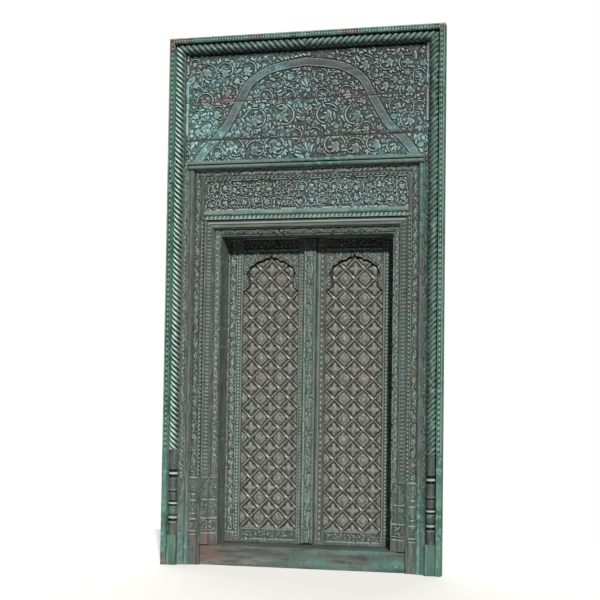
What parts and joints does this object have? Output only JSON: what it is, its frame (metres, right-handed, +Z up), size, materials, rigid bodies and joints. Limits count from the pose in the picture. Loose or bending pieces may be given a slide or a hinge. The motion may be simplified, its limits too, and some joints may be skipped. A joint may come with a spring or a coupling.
{
  "type": "carved temple door",
  "caption": "Tall carved double-leaf timber door in a wide carved surround with rope columns, a bell-arch field and inward-opening lattice leaves on wooden pivots.",
  "frame": {"origin": "middle of the door's bounding box in plan, at the foot, on the ground", "axes": "+Z up, +X to the right seen from the front, the carved front faces -Y and the leaves open towards +Y"},
  "size_m": [1.38, 0.293, 2.6],
  "materials": {
    "painted_timber": "worn matt green paint over weathered hardwood",
    "carved_timber": "carved hardwood, green paint worn back to grey-brown timber",
    "back_timber": "rough sawn weathered hardwood",
    "nail_iron": "rusty forged iron"
  },
  "bodies": {
    "surround": {"edge_strip_left": "painted_timber", "edge_strip_right": "painted_timber", "edge_strip_top": "painted_timber", "rope_post_left": "painted_timber", "rope_post_right": "painted_timber", "rope_beam_top": "painted_timber", "outer_jamb_left": "carved_timber", "outer_jamb_right": "carved_timber", "cornice": "painted_timber", "middle_jamb_left": "carved_timber", "middle_jamb_right": "carved_timber", "middle_head": "carved_timber", "lintel_panel": "carved_timber", "lintel_moulding": "painted_timber", "inner_jamb_left": "carved_timber", "inner_jamb_right": "carved_timber", "inner_head": "carved_timber", "tympanum_board_low": "carved_timber", "tympanum_board_mid": "carved_timber", "tympanum_board_top": "carved_timber", "threshold": "painted_timber", "pivot_beam": "back_timber", "rear_post_left": "back_timber", "rear_post_right": "back_timber", "batten_left": "back_timber", "batten_centre": "back_timber", "batten_right": "back_timber", "back_rail_top": "back_timber", "back_rail_mid": "back_timber", "batten_nails": "nail_iron"},
    "left_leaf": {"left_hanging_stile": "carved_timber", "left_meeting_stile": "carved_timber", "left_top_rail": "carved_timber", "left_bottom_rail": "carved_timber", "left_lattice_panel": "carved_timber", "left_arch_board": "carved_timber", "left_ledge_low": "back_timber", "left_ledge_mid": "back_timber", "left_ledge_top": "back_timber", "left_nails": "nail_iron", "centre_strip": "painted_timber"},
    "right_leaf": {"right_hanging_stile": "carved_timber", "right_meeting_stile": "carved_timber", "right_top_rail": "carved_timber", "right_bottom_rail": "carved_timber", "right_lattice_panel": "carved_timber", "right_arch_board": "carved_timber", "right_ledge_low": "back_timber", "right_ledge_mid": "back_timber", "right_ledge_top": "back_timber", "right_nails": "nail_iron"}
  },
  "joints": [
    {"name": "left_leaf_swing", "type": "hinge", "parent": "surround", "child": "left_leaf", "pos_m": [-0.432, 0.1015, 0.1], "axis": [0, 0, 1], "range_deg": [0, 95]},
    {"name": "right_leaf_swing", "type": "hinge", "parent": "surround", "child": "right_leaf", "pos_m": [0.432, 0.1015, 0.1], "axis": [0, 0, -1], "range_deg": [0, 95]}
  ]
}
